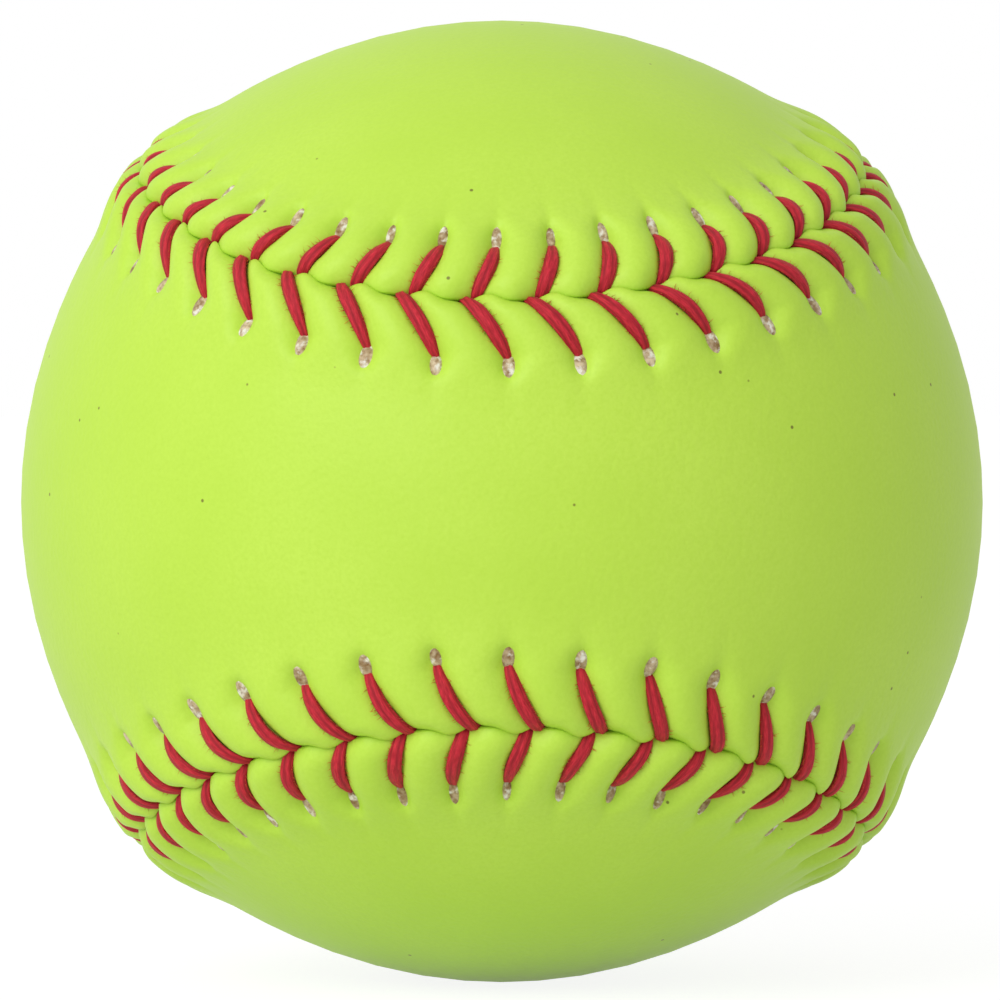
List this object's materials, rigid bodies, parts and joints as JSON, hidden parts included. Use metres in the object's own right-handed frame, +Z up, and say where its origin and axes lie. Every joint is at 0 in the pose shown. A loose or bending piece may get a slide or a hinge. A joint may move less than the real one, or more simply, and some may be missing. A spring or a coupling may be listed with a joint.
{
  "type": "softball",
  "caption": "Softball with a solid core, a two-panel optic yellow synthetic leather cover and a raised seam sewn with crimson thread in a V stitch",
  "frame": {"origin": "centre of the ball", "axes": "+Z up as pictured, -Y towards the camera through the waist of the front panel, +X to the right"},
  "size_m": [0.097, 0.098, 0.097],
  "materials": {
    "core_foam": "moulded polyurethane, matt",
    "cement": "dried latex film",
    "backing_felt": "needled felt",
    "cover_leather": "satin synthetic leather, fine grain",
    "seam_thread": "waxed twisted thread"
  },
  "bodies": {
    "root": {"core": "core_foam", "cement_coat": "cement", "front_cover_backing": "backing_felt", "rear_cover_backing": "backing_felt", "front_cover_skin": "cover_leather", "rear_cover_skin": "cover_leather", "thread_strand_a": "seam_thread", "thread_strand_b": "seam_thread"}
  },
  "joints": []
}
